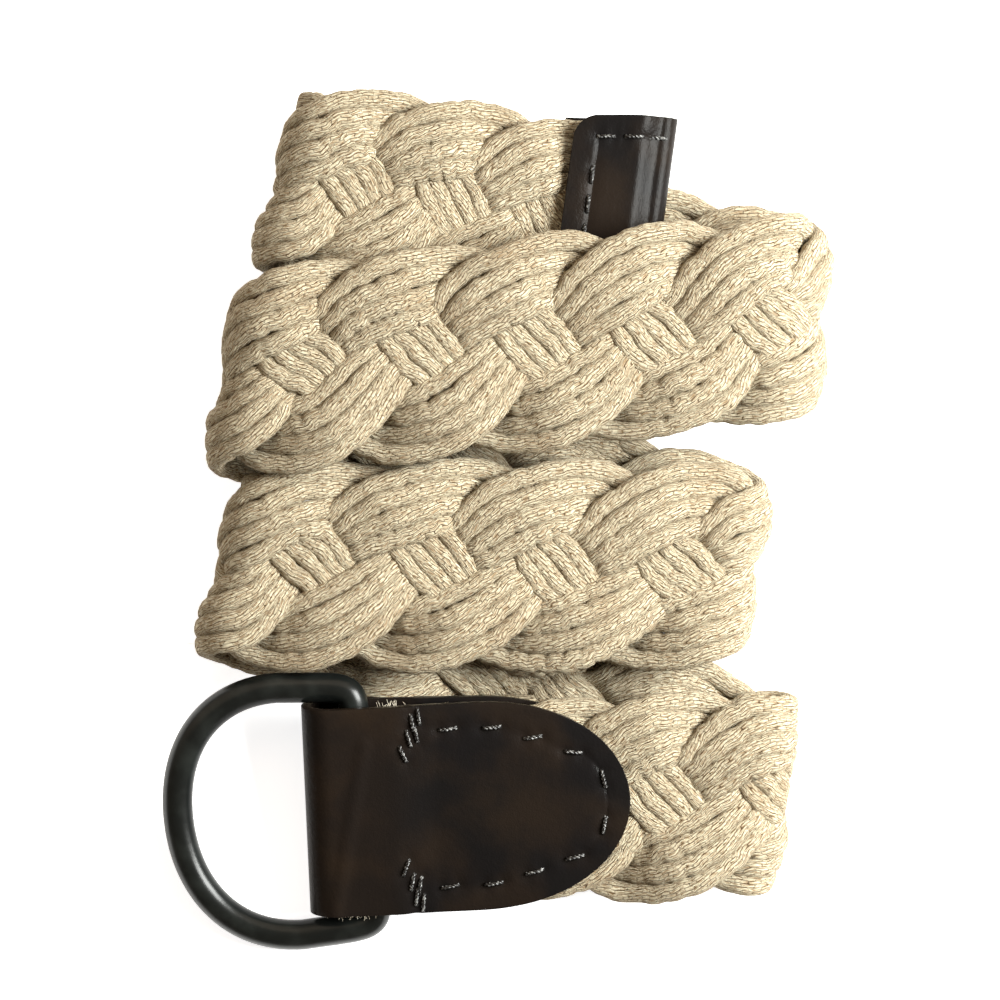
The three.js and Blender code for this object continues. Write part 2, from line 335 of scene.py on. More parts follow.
turns = [dict(zip(TURN_COLUMNS, row)) for row in TURNS]


def skewed(phase):
    """The phase of the swing: the rising half is the longer one. Whole odd numbers stay where they are."""
    p = np.mod(phase + SKEW, 4)
    return np.where(p < 2 + 2 * SKEW, p / (1 + SKEW), 2 + (p - 2 - 2 * SKEW) / (1 - SKEW))


def over_under(phase):
    """1 where a strand lies over and -1 where it lies under."""
    p = np.mod(phase, 4)
    steps = [turn["way"] * smooth((p - turn["phase"]) / (2 * turn["half"]) + 0.5) for turn in turns]
    return -1 + 2 * sum(steps)


def dome(phase):
    """A half wave over each visible or hidden stretch, up or down, and low over the short ones."""
    p = np.mod(phase, 4)
    wave = np.zeros_like(p)
    for start, end in zip(turns, turns[1:]):
        inside = (p >= start["phase"]) & (p < end["phase"])
        arc = np.sin(pi * (p - start["phase"]) / (end["phase"] - start["phase"]))
        wave = np.where(inside, start["way"] * start["swell"] * arc, wave)
    return wave


def at_dives(phase, column):
    """A column of the table as soft bumps round its phases."""
    p = np.mod(phase, 4)
    return sum(turn[column] * np.exp(-(((p - turn["phase"]) / DIVE_REACH) ** 2)) for turn in turns)


def spread(phase):
    """How wide the cords lie apart: together at the dives, a little wider in the leaves."""
    return 1 - at_dives(phase, "narrow") + LEAF_SPREAD * np.abs(dome(phase))


def row_drift(s):
    """How far the blocks lie off the belt's middle on the front legs: up at the start, down at the end."""
    drift = np.zeros(s.shape)
    for leg in legs[2::2]:
        t = (s - leg["s"]) / leg["length"]
        drift += mix(*ROW_DRIFT, t) * smooth(t * DRIFT_ENDS) * smooth((1 - t) * DRIFT_ENDS)
    return drift


# %% [markdown]
# Each cord is a tube whose rings follow its line. It is built as a mesh in numpy, since its section is
# flat and turns with the belt's face, which a plain bevelled curve can't do. Its UV map is in millimetres
# along the cord and in yarns round it, so that the yarns can be drawn on it later. Nothing may dip into
# the table, so points below it are lifted onto it.


# %% Tubes in numpy
def tube_mesh(name, tubes, sides, yarns, square=1.0):
    """One mesh of several closed tubes. A tube is (points, across, out): its line and its two half axes.

    square is 1 for an oval section, and less for one with flatter sides."""
    verts, quads, caps, uvs = [], [], [], []
    base = 0
    angle = 2 * pi * np.arange(sides) / sides
    wave_x, wave_y = (np.sign(wave) * np.abs(wave) ** square for wave in (np.cos(angle), np.sin(angle)))
    for points, across, out in tubes:
        n = len(points)
        round_it = wave_x[:, None] * across[:, None] + wave_y[:, None] * out[:, None]
        verts.append((points[:, None] + round_it).reshape(-1, 3))
        run = np.concatenate([[0], np.cumsum(np.linalg.norm(np.diff(points, axis=0), axis=1))]) / MM
        i, j = (v.ravel() for v in np.meshgrid(np.arange(n - 1), np.arange(sides), indexing="ij"))
        k = (j + 1) % sides
        here, after = i * sides, (i + 1) * sides
        quads.append(base + np.stack([here + j, here + k, after + k, after + j], 1))
        low, high = j / sides * yarns, (j + 1) / sides * yarns
        corners = [(run[i], low), (run[i], high), (run[i + 1], high), (run[i + 1], low)]
        uvs.append(np.stack([np.stack(corner, 1) for corner in corners], 1).reshape(-1, 2))
        caps.append(list(range(base + sides - 1, base - 1, -1)))
        caps.append(list(range(base + (n - 1) * sides, base + n * sides)))
        base += n * sides
    mesh = bpy.data.meshes.new(name)
    mesh.from_pydata(np.vstack(verts).tolist(), [], np.vstack(quads).tolist() + caps)
    layer = mesh.uv_layers.new(name="UVMap")
    flat = np.zeros((len(mesh.loops), 2))
    flat[: sum(len(uv) for uv in uvs)] = np.vstack(uvs)
    layer.data.foreach_set("uv", flat.ravel())
    mesh.polygons.foreach_set("use_smooth", [True] * len(mesh.polygons))
    piece = bpy.data.objects.new(name, mesh)
    bpy.context.collection.objects.link(piece)
    return piece


def unit_rows(v):
    return v / np.linalg.norm(v, axis=1, keepdims=True)


# %% Moving a mesh's points
def set_points(piece, points):
    piece.data.vertices.foreach_set("co", np.asarray(points, dtype=float).ravel())
    piece.data.update()


def get_points(piece):
    points = np.empty(len(piece.data.vertices) * 3)
    piece.data.vertices.foreach_get("co", points)
    return points.reshape(-1, 3)


def lift_onto_table(piece):
    points = get_points(piece)
    points[:, 2] = np.maximum(points[:, 2], 0)
    set_points(piece, points)


# %% The four strands
CORD_STEP = 0.85 * MM
CORD_SIDES = 16
YARNS_ROUND = 22
PRESSED_HEIGHT = 0.8
TUCK = 0.93
TUCK_TAB = {"inside": 22 * MM, "over": 24 * MM}
TUCK_CAP = {"inside": 4 * MM, "over": 14 * MM}
# Each wobble's size, and its wave's length in metres
WANDERS = {
    "across_slow": (0.3 * MM, 0.03),
    "across_quick": (0.22 * MM, 0.005),
    "up": (0.15 * MM, 0.02),
    "swell_slow": (0.03, 0.012),
    "swell_quick": (0.035, 0.0035),
}
rng = np.random.default_rng(4)


def wander(s, kind):
    """A seeded wobble along the belt, of one of the kinds in the table."""
    size, pace = WANDERS[kind]
    waves = [(rng.uniform(0.6, 1.6) / pace, rng.uniform(0, 2 * pi)) for _ in range(3)]
    return size * sum(np.sin(2 * pi * s * often + at) for often, at in waves) / 2


def tuck_at(s):
    """The plait is drawn in a little more inside the leather, so that it doesn't show beside it."""
    from_tab = smooth((s - TAB_LENGTH + TUCK_TAB["inside"]) / TUCK_TAB["over"])
    from_tip = smooth((LENGTH - TIP_LENGTH + TUCK_CAP["inside"] - s) / TUCK_CAP["over"])
    return mix(TUCK, 1, np.minimum(from_tab, from_tip))


def cord_line(strand, cord, s):
    """The (s, u, h) of one cord's middle, its width as a share of the full one, and how far it is rolled."""
    phase = skewed(phase_at(s) - strand)
    turn = pi * phase / 2
    pace = np.gradient(phase_at(s), s) / np.where(phase < 2, 1 + SKEW, 1 - SKEW)
    steep = SWING * pi / 2 * pace * np.sin(turn)
    lean = np.hypot(1, steep)
    wide = spread(phase)
    side = cord - EDGE_CORD
    offset = side * CORD_WIDTH * wide * CORD_CLOSE + TIP_SHIFT * at_dives(phase, "shift")
    offset = offset + wander(s, "across_slow") + wander(s, "across_quick")
    arch = LEAF_ARCH * (1 - (side / EDGE_CORD) ** 2)
    h = CROSS * over_under(phase) + (LEAF_DOME + arch - LEAF_TILT * side) * dome(phase)
    h = h + wander(s, "up")
    u = -SWING * np.cos(turn) + row_drift(s) * np.sin(turn) ** 2
    roll = -(2 * LEAF_ARCH * side / EDGE_CORD**2 + LEAF_TILT) / (CORD_WIDTH * CORD_CLOSE) * dome(phase)
    at_s, at_u = s - offset * steep / lean, (u + offset / lean) * draw_at(s) * tuck_at(s)
    return at_s, at_u, h * press_at(s), wide, roll


def cord_tube(strand, cord):
    s = np.arange(PLAIT_START, PLAIT_END, CORD_STEP)
    at_s, at_u, h, wide, roll = cord_line(strand, cord, s)
    points = place(at_s, at_u, h)
    along = unit_rows(np.gradient(points, axis=0))
    across = unit_rows(np.cross(outward(at_s, at_u), along))
    across = unit_rows(across + roll[:, None] * np.cross(along, across))
    up = np.cross(along, across)
    swell = 1 + wander(s, "swell_slow") + wander(s, "swell_quick")
    half_across = CORD_WIDTH / 2 * mix(1, wide, CORD_SQUEEZE) * swell
    half_out = CORD_HEIGHT / 2 * mix(1, press_at(s), PRESSED_HEIGHT) * swell
    return points, across * half_across[:, None], up * half_out[:, None]


strands = []
cord_tubes = []
for strand in range(STRANDS):
    tubes = [cord_tube(strand, cord) for cord in range(CORDS)]
    cord_tubes += tubes
    piece = tube_mesh(f"strand_{strand + 1}", tubes, CORD_SIDES, YARNS_ROUND, CORD_SQUARE)
    lift_onto_table(piece)
    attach(piece, "belt")
    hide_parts("plait")
    strands.append(piece)
    print(piece.name, len(piece.data.polygons), "faces")

# %% [markdown]
# Cotton is never quite smooth: short fibres stand off every cord. They are thin curved tubes of three
# sides, set at seeded places all over the cords and joined into one mesh.


# %% Fine tubes for fibres and threads
NEVER_ALONG = np.array([0.31, 0.17, 0.93])


def fine_tube(points, radius, tip=1.0):
    """A round tube along a few points, its end drawn in to a share of its radius."""
    points = np.asarray(points)
    along = unit_rows(np.gradient(points, axis=0))
    across = unit_rows(np.cross(along, NEVER_ALONG))
    up = np.cross(along, across)
    thick = radius * np.linspace(1, tip, len(points))[:, None]
    return points, across * thick, up * thick


# %% The fuzz on the cords
FIBRES = 14000
FIBRE_RADIUS = 0.036 * MM
FIBRE_LONG = (0.8 * MM, 2.4 * MM)
FIBRE_LEAN = {"along": 1.1, "anyhow": 0.5}
FIBRE_RISE = 0.55
FIBRE_DROOP = 0.25


def fibre():
    """One short curved fibre, from a seeded place on a seeded cord."""
    points, across, out = cord_tubes[rng.integers(len(cord_tubes))]
    at = rng.integers(2, len(points) - 2)
    angle = rng.uniform(0, 2 * pi)
    root = points[at] + np.cos(angle) * across[at] + np.sin(angle) * out[at]
    away = unit(np.cos(angle) * unit(across[at]) + np.sin(angle) * unit(out[at]))
    along = unit(points[at + 1] - points[at - 1])
    lean = rng.normal(0, FIBRE_LEAN["along"]) * along + rng.normal(0, FIBRE_LEAN["anyhow"], 3)
    length = rng.uniform(*FIBRE_LONG)
    t = np.linspace(0, 1, 3)[:, None]
    curve = t * (away * FIBRE_RISE + lean / 2) - t**2 * away * FIBRE_DROOP
    return fine_tube(root + length * curve, FIBRE_RADIUS, 0.4)


fuzz = tube_mesh("cotton_fuzz", [fibre() for _ in range(FIBRES)], 3, 1)
lift_onto_table(fuzz)
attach(fuzz, "belt")
print("fuzz", len(fuzz.data.polygons), "faces")

# %% Loose thread ends beside the tab
THREAD_END = 0.055 * MM
THREAD_REACH = 0.6
THREAD_INSIDE = 2.2
TUFT_COLUMNS = ("s", "u", "h", "threads", "long")
TUFTS = [
    (18.6, 24.0, 4.2, 7, 2.0),
    (22.8, 24.0, 3.8, 8, 2.2),
    (6, -24.0, 4.9, 22, 1.6),
    (12, -24.0, 4.7, 26, 1.7),
    (19, -23.9, 4.3, 26, 1.7),
]
tufts = [dict(zip(TUFT_COLUMNS, row)) for row in TUFTS]


def loose_thread(tuft):
    """One curled thread end of a tuft. It starts between the leather's flaps and comes out at their edge."""
    way = np.sign(tuft["u"])
    t = np.linspace(0, 1, 7)
    long = tuft["long"] * rng.uniform(0.4, 1)
    run, lift = rng.normal(0, 1.2), rng.normal(0, 0.6)
    curl, spin = rng.uniform(0.2, 0.7), rng.uniform(0, 2 * pi)
    s = tuft["s"] + rng.normal(0, 1.3) + run * t + curl * np.sin(3 * t + spin)
    out = THREAD_INSIDE * (t - 1) + THREAD_REACH * long * t
    u = tuft["u"] + way * out + curl * np.cos(4 * t + spin)
    h = tuft["h"] + lift * t - 0.5 * t**2
    return fine_tube(place(s * MM, u * MM, h * MM), THREAD_END, 0.7)


tails = [loose_thread(tuft) for tuft in tufts for _ in range(tuft["threads"])]
loose = tube_mesh("loose_threads", tails, 4, 1)
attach(loose, "belt")

# %% [markdown]
# ## The leather pieces
#
# The tab and the cap are flat pieces of leather folded over the belt's ends. Each starts as a flat grid,
# as the leather starts as a flat piece, and every point of it is then carried to its place round the
# fold. Solidify gives it its thickness and Bevel rounds the cut edges. The tab's cut edges get a material
# of their own, since the raw leather there is redder than its dyed face. The cap's edges are dyed like
# its face.


# %% A grid that becomes a folded piece of leather
def leather_grid(name, across, along):
    bpy.ops.object.select_all(action="DESELECT")
    bpy.ops.mesh.primitive_grid_add(x_subdivisions=along, y_subdivisions=across, size=2)
    piece = bpy.context.object
    piece.name = piece.data.name = name
    return piece


LEATHER_ROUNDING = 0.4 * MM


def finish_leather(piece):
    """Thickness, rounded edges and smooth shading, all applied."""
    bpy.context.view_layer.objects.active = piece
    wall = piece.modifiers.new("wall", "SOLIDIFY")
    wall.thickness, wall.offset, wall.material_offset_rim = LEATHER, 0, 1
    bevel = piece.modifiers.new("edge", "BEVEL")
    bevel.width, bevel.segments = LEATHER_ROUNDING, 2
    bevel.limit_method, bevel.angle_limit = "ANGLE", radians(50)
    bevel.material = 1
    for modifier in ("wall", "edge"):
        bpy.ops.object.modifier_apply(modifier=modifier)
    bpy.ops.object.select_all(action="DESELECT")
    piece.select_set(True)
    bpy.ops.object.shade_smooth_by_angle(angle=radians(60))
    piece.select_set(False)


TONGUE_LONG = TAB_WIDTH * 0.75
TONGUE_CURVE = 2.2
TONGUE_END = 12 * MM
TONGUE_BENT = 25 * MM
TAB_FOLD = 0.12
TAB_ROWS = 1.1


def tongue_half(from_end):
    """Half of the tongue's width at a distance from its round end."""
    t = np.clip(from_end / TONGUE_LONG, 0, 1)
    return TAB_WIDTH / 2 * np.sqrt(1 - (1 - t) ** TONGUE_CURVE)


def tongue_from_end(half):
    """The distance from the round end at which half of the tongue's width is this much."""
    return TONGUE_LONG * (1 - (1 - (half / (TAB_WIDTH / 2)) ** 2) ** (1 / TONGUE_CURVE))


def flap_rise(s):
    """The tab's middle surface above the belt's: high over the ring's bar, low over the plait."""
    return mix(LOOP_FLAP, FLAP, smooth((s - BAR_AT - WIRE) / (TAB_LOOP - BAR_AT)))


def tab_line(t, v):
    """The tab's (s, u, h). t goes from -1, the end of the upper tongue, to 1, the end of the lower one, and v
    goes across.

    The rows near each end bend along the tongue's round end, so that no face there is squeezed."""
    fold_at = LOOP_FLAP + LEATHER / 2
    flat = 1 - np.clip((np.abs(t) - TAB_FOLD) / (1 - TAB_FOLD), 0, 1)
    turn = pi / 2 * (1 - np.clip(np.abs(t) / TAB_FOLD, 0, 1))
    row = (TAB_LENGTH - fold_at) * flat**TAB_ROWS
    bent = 1 - smooth(row / TONGUE_BENT)
    from_end = row + tongue_from_end(np.abs(v) * TONGUE_END) * bent
    s = np.where(turn > 0, fold_at - LOOP_FLAP * np.sin(turn), TAB_LENGTH - from_end)
    h = np.where(turn > 0, LOOP_FLAP * np.cos(turn), flap_rise(s))
    half = np.where(turn > 0, TAB_WIDTH / 2, tongue_half(row + tongue_from_end(TONGUE_END) * bent))
    return s, v * half, -np.sign(t) * h


# %% Where the tab is stitched
TONGUE_ROW_BEND = 1.25
ROW_STRAIGHT_FROM = 12 * MM
STITCH_ASTRAY = {"across": 0.35 * MM, "turned": 11}
STITCH_PITCH = 9.3 * MM
STITCH_LONG = 4.2 * MM
STITCH_INSET = 5.2 * MM
THREAD = 0.95 * MM
TACK_AT = 24.5 * MM
ROW_START = TACK_AT + 4 * MM
TACK_COLUMNS = ("s", "u", "turn")
TACKS = [
    (-1.2, 13.2, 112),
    (0.2, 16.6, 104),
    (1.1, 20.2, 98),
    (1.9, 17.6, 100),
    (2.6, 21.6, 96),
]


def row_half(from_end):
    """The stitch row's distance from the tongue's middle, at a distance from the row's own round end."""
    return tongue_half(from_end) - STITCH_INSET * smooth(from_end / ROW_STRAIGHT_FROM)


def tongue_row():
    """Stitches a fixed way in from the tongue's edge, as (s, u, turn in degrees)."""
    way = np.linspace(0, 1, 400)
    row_end = TAB_LENGTH - STITCH_INSET
    s = row_end - (row_end - ROW_START) * (1 - np.sin(pi * way)) ** TONGUE_ROW_BEND
    u = np.where(way < 0.5, 1, -1) * row_half(row_end - s)
    run = np.concatenate([[0], np.cumsum(np.hypot(np.diff(s), np.diff(u)))])
    count = int(run[-1] / STITCH_PITCH)
    at = (np.arange(count) + 0.5) * run[-1] / count
    turn = np.degrees(np.arctan2(np.gradient(u), np.gradient(s)))
    index = np.searchsorted(run, at)
    across, turned = STITCH_ASTRAY["across"], STITCH_ASTRAY["turned"]
    return [(s[i], u[i] + rng.normal(0, across), turn[i] + rng.normal(0, turned)) for i in index]


tacks = [dict(zip(TACK_COLUMNS, row)) for row in TACKS]
tab_stitches = tongue_row()
for tack in tacks:
    for way in (1, -1):
        tab_stitches.append((TACK_AT + tack["s"] * MM, way * tack["u"] * MM, way * tack["turn"]))
print(len(tab_stitches), "stitches on each side of the tab")


DIMPLE_SIZE = 1.7 * MM
TAB_DIMPLE = 0.45 * MM
CAP_DIMPLE = 0.4 * MM


def dimples(s, u, stitches, depth):
    """How far the leather is drawn down at each stitch's two ends."""
    drop = np.zeros(np.shape(s))
    for at_s, at_u, turn in stitches:
        half = STITCH_LONG / 2
        for way in (-1, 1):
            end_s = at_s + way * half * np.cos(np.radians(turn))
            end_u = at_u + way * half * np.sin(np.radians(turn))
            far = ((s - end_s) ** 2 + (u - end_u) ** 2) / DIMPLE_SIZE**2
            drop = np.maximum(drop, depth * np.exp(-far))
    return drop


# %% The ring tab
CREASE = ((13.3, 10.4), (6.4, -23.2))
CREASE_HIGH, CREASE_WIDE, CREASE_ENDS = 0.38 * MM, 1.5 * MM, 6 * MM
TAB_WAVE, EDGE_WAVE = 0.112 * MM, 0.125 * MM
GROOVE_DEEP, GROOVE_WIDE = 0.2 * MM, 1.2 * MM


def ridge(away, wide):
    """A soft ridge: 1 where away is 0, and nearly 0 at twice this width from there."""
    return np.exp(-((away / wide) ** 2))


def tab_relief(s, u):
    """The tab's low waves, the crease beside the fold, and the groove and dimples of the stitches."""
    waves = TAB_WAVE * np.sin(s / (6 * MM) + 1) * np.sin(u / (7 * MM) + s / (19 * MM))
    (s1, u1), (s2, u2) = (np.array(end) * MM for end in CREASE)
    across = ((s - s1) * (u2 - u1) - (u - u1) * (s2 - s1)) / np.hypot(s2 - s1, u2 - u1)
    crease = CREASE_HIGH * ridge(across, CREASE_WIDE) * (u < u1 + CREASE_ENDS)
    edge = EDGE_WAVE * np.sin(s / (4.3 * MM)) * smooth((np.abs(u) - 14 * MM) / (10 * MM))
    row = row_half(TAB_LENGTH - STITCH_INSET - s)
    groove = GROOVE_DEEP * ridge(np.abs(u) - row, GROOVE_WIDE) * smooth((s - TACK_AT) / (5 * MM))
    return waves + crease + edge - groove - dimples(s, u, tab_stitches, TAB_DIMPLE)


tab = leather_grid("ring_tab_leather", 44, 260)
flat = get_points(tab)
s, u, h = tab_line(flat[:, 0], flat[:, 1])
lift = np.maximum(tab_relief(s, u), -LEATHER / 3) * smooth((s - 3 * MM) / (4 * MM))
set_points(tab, place(s, u, h + np.sign(h) * lift))
finish_leather(tab)
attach(tab, "belt")
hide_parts("ring_tab")


# %% The tip cap
CAP_BACK_LONGER = 2 * MM
CAP_WEDGE = 8.5 * MM
CAP_FOLD = 0.15
CAP_ROWS = 1.3


def cap_height(s):
    """The cap's middle surface above the belt's: level over the plait, and falling to the fold."""
    return mix(FLAP + GAP, TIP_EDGE, smooth((s - LENGTH + CAP_WEDGE) / (CAP_WEDGE - TIP_EDGE - LEATHER / 2)))


def cap_line(t):
    """The cap's line at t from -1, its upper edge, to 1, its lower edge: (s, h, half).

    The lower flap is a little longer than the upper one, and its corners are square."""
    fold_at = LENGTH - TIP_EDGE - LEATHER / 2
    flat = np.clip((np.abs(t) - CAP_FOLD) / (1 - CAP_FOLD), 0, 1)
    turn = pi / 2 * (1 - np.clip(np.abs(t) / CAP_FOLD, 0, 1))
    edge_at = LENGTH - TIP_LENGTH - np.where(t > 0, CAP_BACK_LONGER, 0)
    from_edge = (fold_at - edge_at) * (1 - flat) ** CAP_ROWS
    s = np.where(turn > 0, fold_at + TIP_EDGE * np.sin(turn), edge_at + from_edge)
    corner = TIP_CORNER * (1 - np.sqrt(1 - np.clip(1 - from_edge / TIP_CORNER, 0, 0.98) ** 2))
    h = np.where(turn > 0, TIP_EDGE * np.cos(turn), cap_height(s))
    rounded = (turn == 0) & (t < 0)
    return s, -np.sign(t) * h, TAB_WIDTH / 2 - np.where(rounded, corner, 0)


CAP_ROW_AT = 5.4 * MM
CAP_SIDE_AT = 19 * MM
CAP_WAVE = 0.12 * MM
CAP_HOLLOW, HOLLOW_EDGE = 0.4 * MM, 1.6 * MM
row_at = LENGTH - TIP_LENGTH + CAP_ROW_AT
cap_stitches = [(row_at, u * MM, 90) for u in (-17, -10.2, -3.4, 3.4, 10.2)]
cap_stitches += [(row_at + along * MM, CAP_SIDE_AT, 0) for along in (2, 8.4, 14)]


def cap_relief(s, u):
    """The cap's low waves, the hollow inside its two rows of stitches, and their dimples."""
    waves = CAP_WAVE * np.sin(u / (5 * MM)) * np.sin(s / (7 * MM))
    beside = np.minimum(s - row_at, CAP_SIDE_AT - u)
    hollow = CAP_HOLLOW * smooth(beside / HOLLOW_EDGE + 0.6)
    return waves - hollow - dimples(s, u, cap_stitches, CAP_DIMPLE)


cap = leather_grid("tip_cap_leather", 44, 200)
flat = get_points(cap)
s, h, half = cap_line(flat[:, 0])
u = flat[:, 1] * half
lift = cap_relief(s, u) * smooth((LENGTH - 3 * MM - s) / (4 * MM))
set_points(cap, place(s, u, h + np.sign(h) * lift))
finish_leather(cap)
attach(cap, "belt")
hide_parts("tip_cap")

# %% [markdown]
# ## The stitches
#
# Each stitch is two thin waxed threads twisted round each other. It comes up through the leather, lies
# over it and goes down again, on both faces of the belt.


# %% Twisted stitches
STITCH_HIGH, STITCH_SUNK = 0.26, 0.8
PLY_APART, PLY_THICK = 0.24, 0.29
STITCH_TURNS = 2.2


def stitch(at_s, at_u, turn, face, height):
    """The two threads of one stitch. face is 1 on the belt's outer face and -1 on its inner one."""
    t = np.linspace(-1, 1, 13)
    run = t * STITCH_LONG / 2
    s = at_s + run * np.cos(np.radians(turn))
    u = at_u + run * np.sin(np.radians(turn))
    arch = height(s) + LEATHER / 2 + THREAD * (STITCH_HIGH - STITCH_SUNK * np.abs(t) ** 3)
    line = place(s, u, face * arch)
    along = unit_rows(np.gradient(line, axis=0))
    across = unit_rows(np.cross(outward(s, u), along))
    up = np.cross(along, across)
    for start in (0, pi):
        spin = (start + t * STITCH_TURNS * pi)[:, None]
        points = line + THREAD * PLY_APART * (np.cos(spin) * across + np.sin(spin) * up)
        yield fine_tube(points, THREAD * PLY_THICK)


def stitch_piece(name, stitches, height):
    tubes = [tube for face in (1, -1) for row in stitches for tube in stitch(*row, face, height)]
    piece = tube_mesh(name, tubes, 7, 4)
    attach(piece, "belt")
    return piece


tab_thread = stitch_piece("ring_tab_stitches", tab_stitches, flap_rise)
cap_thread = stitch_piece("tip_cap_stitches", cap_stitches, cap_height)
print("stitches", len(tab_thread.data.polygons), len(cap_thread.data.polygons), "faces")

# %% [markdown]
# ## The D ring
#
# The ring is one Bezier line with a round bevel: a straight bar, two quick bends and a wide bow. Its own
# frame has the bar along Y and the bow towards +X. The hinge of the frame says where the bar is, and the
# middle of the CAD ring says which way the bow points. Each row of the table is a point of the line and
# its two handles.

# %% Bend the D ring
pos = Vector(frame["joints"][0]["pos_m"])
bar_way = -Vector(frame["joints"][0]["axis"]).normalized()
cad_ring = frame["nodes"]["d_ring"]
corners = [cad_ring.matrix_world @ vertex.co for vertex in cad_ring.data.vertices]
reach = sum(corners, Vector()) / len(corners) - pos
bow_way = (reach - reach.dot(bar_way) * bar_way).normalized()
turned = Matrix((bow_way, bar_way, bow_way.cross(bar_way))).transposed().to_4x4()
ring_frame = Matrix.Translation(pos) @ turned

half_bar = TAB_WIDTH / 2 + RING_PLAY + WIRE / 2
wide = half_bar + RING_BULGE
side_at, side_ends, bow_ends = RING_DEPTH * 0.4, RING_DEPTH * 0.76, wide * 0.6
RING_POINTS = [
    ((0, -half_bar + RING_CORNER), (0, -half_bar), (0, -half_bar + 2 * RING_CORNER)),
    ((0, half_bar - RING_CORNER), (0, half_bar - 2 * RING_CORNER), (0, half_bar)),
    ((side_at, wide), (RING_CORNER, wide - MM), (side_ends, wide)),
    ((RING_DEPTH, 0), (RING_DEPTH, bow_ends), (RING_DEPTH, -bow_ends)),
    ((side_at, -wide), (side_ends, -wide), (RING_CORNER, -wide + MM)),
]
bpy.ops.object.select_all(action="DESELECT")
bpy.ops.curve.primitive_bezier_circle_add(location=(0, 0, 0))
ring = bpy.context.object
ring.name = "d_ring_wire"
spline = ring.data.splines[0]
spline.bezier_points.add(len(RING_POINTS) - len(spline.bezier_points))
for point, (at, before, after) in zip(spline.bezier_points, RING_POINTS):
    point.handle_left_type = point.handle_right_type = "FREE"
    point.co, point.handle_left, point.handle_right = (*at, 0), (*before, 0), (*after, 0)
ring.data.resolution_u = 28
ring.data.bevel_depth = WIRE / 2
ring.data.bevel_resolution = 8
bpy.ops.object.convert(target="MESH")
ring = bpy.context.object
ring.data.transform(ring_frame)
bpy.ops.object.shade_smooth()
ring.select_set(False)
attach(ring, "ring")
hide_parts("d_ring")
print("the ring", len(ring.data.polygons), "faces, lowest at", min(v.co.z for v in ring.data.vertices))

# %% [markdown]
# ## Materials
#
# Every material is made of nodes, with no pictures. A short helper adds a node, sets its inputs and links
# the ones that are given as sockets.


# %% A helper for nodes
def new_material(name, rough, **sockets):
    mat = bpy.data.materials.new(name)
    mat.use_nodes = True
    shader = mat.node_tree.nodes["Principled BSDF"]
    shader.inputs["Roughness"].default_value = rough
    for socket, value in sockets.items():
        shader.inputs[socket.replace("_", " ")].default_value = value
    return mat, mat.node_tree, shader


def add_node(tree, kind, inputs=None, **settings):
    """A node of this kind. inputs maps socket names or numbers to values or to other sockets."""
    made = tree.nodes.new("ShaderNode" + kind)
    for key, value in settings.items():
        setattr(made, key, value)
    for key, value in (inputs or {}).items():
        if isinstance(value, bpy.types.NodeSocket):
            tree.links.new(value, made.inputs[key])
        else:
            made.inputs[key].default_value = value
    return made


def maths(tree, operation, *values):
    return add_node(tree, "Math", dict(enumerate(values)), operation=operation).outputs[0]


def blend(tree, share, first, second, blend_type="MIX"):
    inputs = {0: share, 6: first, 7: second}
    return add_node(tree, "Mix", inputs, data_type="RGBA", blend_type=blend_type).outputs[2]


def ramp(tree, share, low, high):
    """0 below low, 1 above high."""
    inputs = {"Value": share, "From Min": low, "From Max": high}
    return add_node(tree, "MapRange", inputs, interpolation_type="SMOOTHSTEP").outputs[0]


# %% [markdown]
# The cotton's yarns are rows of long stitches, like bricks: a brick pattern runs along each cord on its
# UV map, bent a little by noise, and a stretched noise adds the fibres. The same pattern colours the
# cords and raises them: where the fibre strokes sink they are tan, partly the yarn's own tone and partly
# painted shade, and the mortar between the bricks is painted dark brown as shade in the grooves between
# the stitches. One unit of the UV map is a millimetre along the cord and a yarn round it, so a brick is a
# stitch.

# %% Cotton
CREAM = (0.63, 0.57, 0.42, 1)
# Tan: the yarn's own darker tone in the large patches, and also painted shade where the fibre strokes sink.
TAN_AND_SHADE = (0.24, 0.16, 0.087, 1)
# Dark brown painted into the grooves between the stitches as shade.
PAINTED_GROOVE_SHADE = (0.055, 0.028, 0.011, 1)
BARE = (0.72, 0.66, 0.54, 1)
PATCH_SCALE = 70.0
YARN_BEND, YARN_SWAY, YARN_TWIST = 0.8, 2.4, 0.22
YARN_RAISED = 0.4 * MM


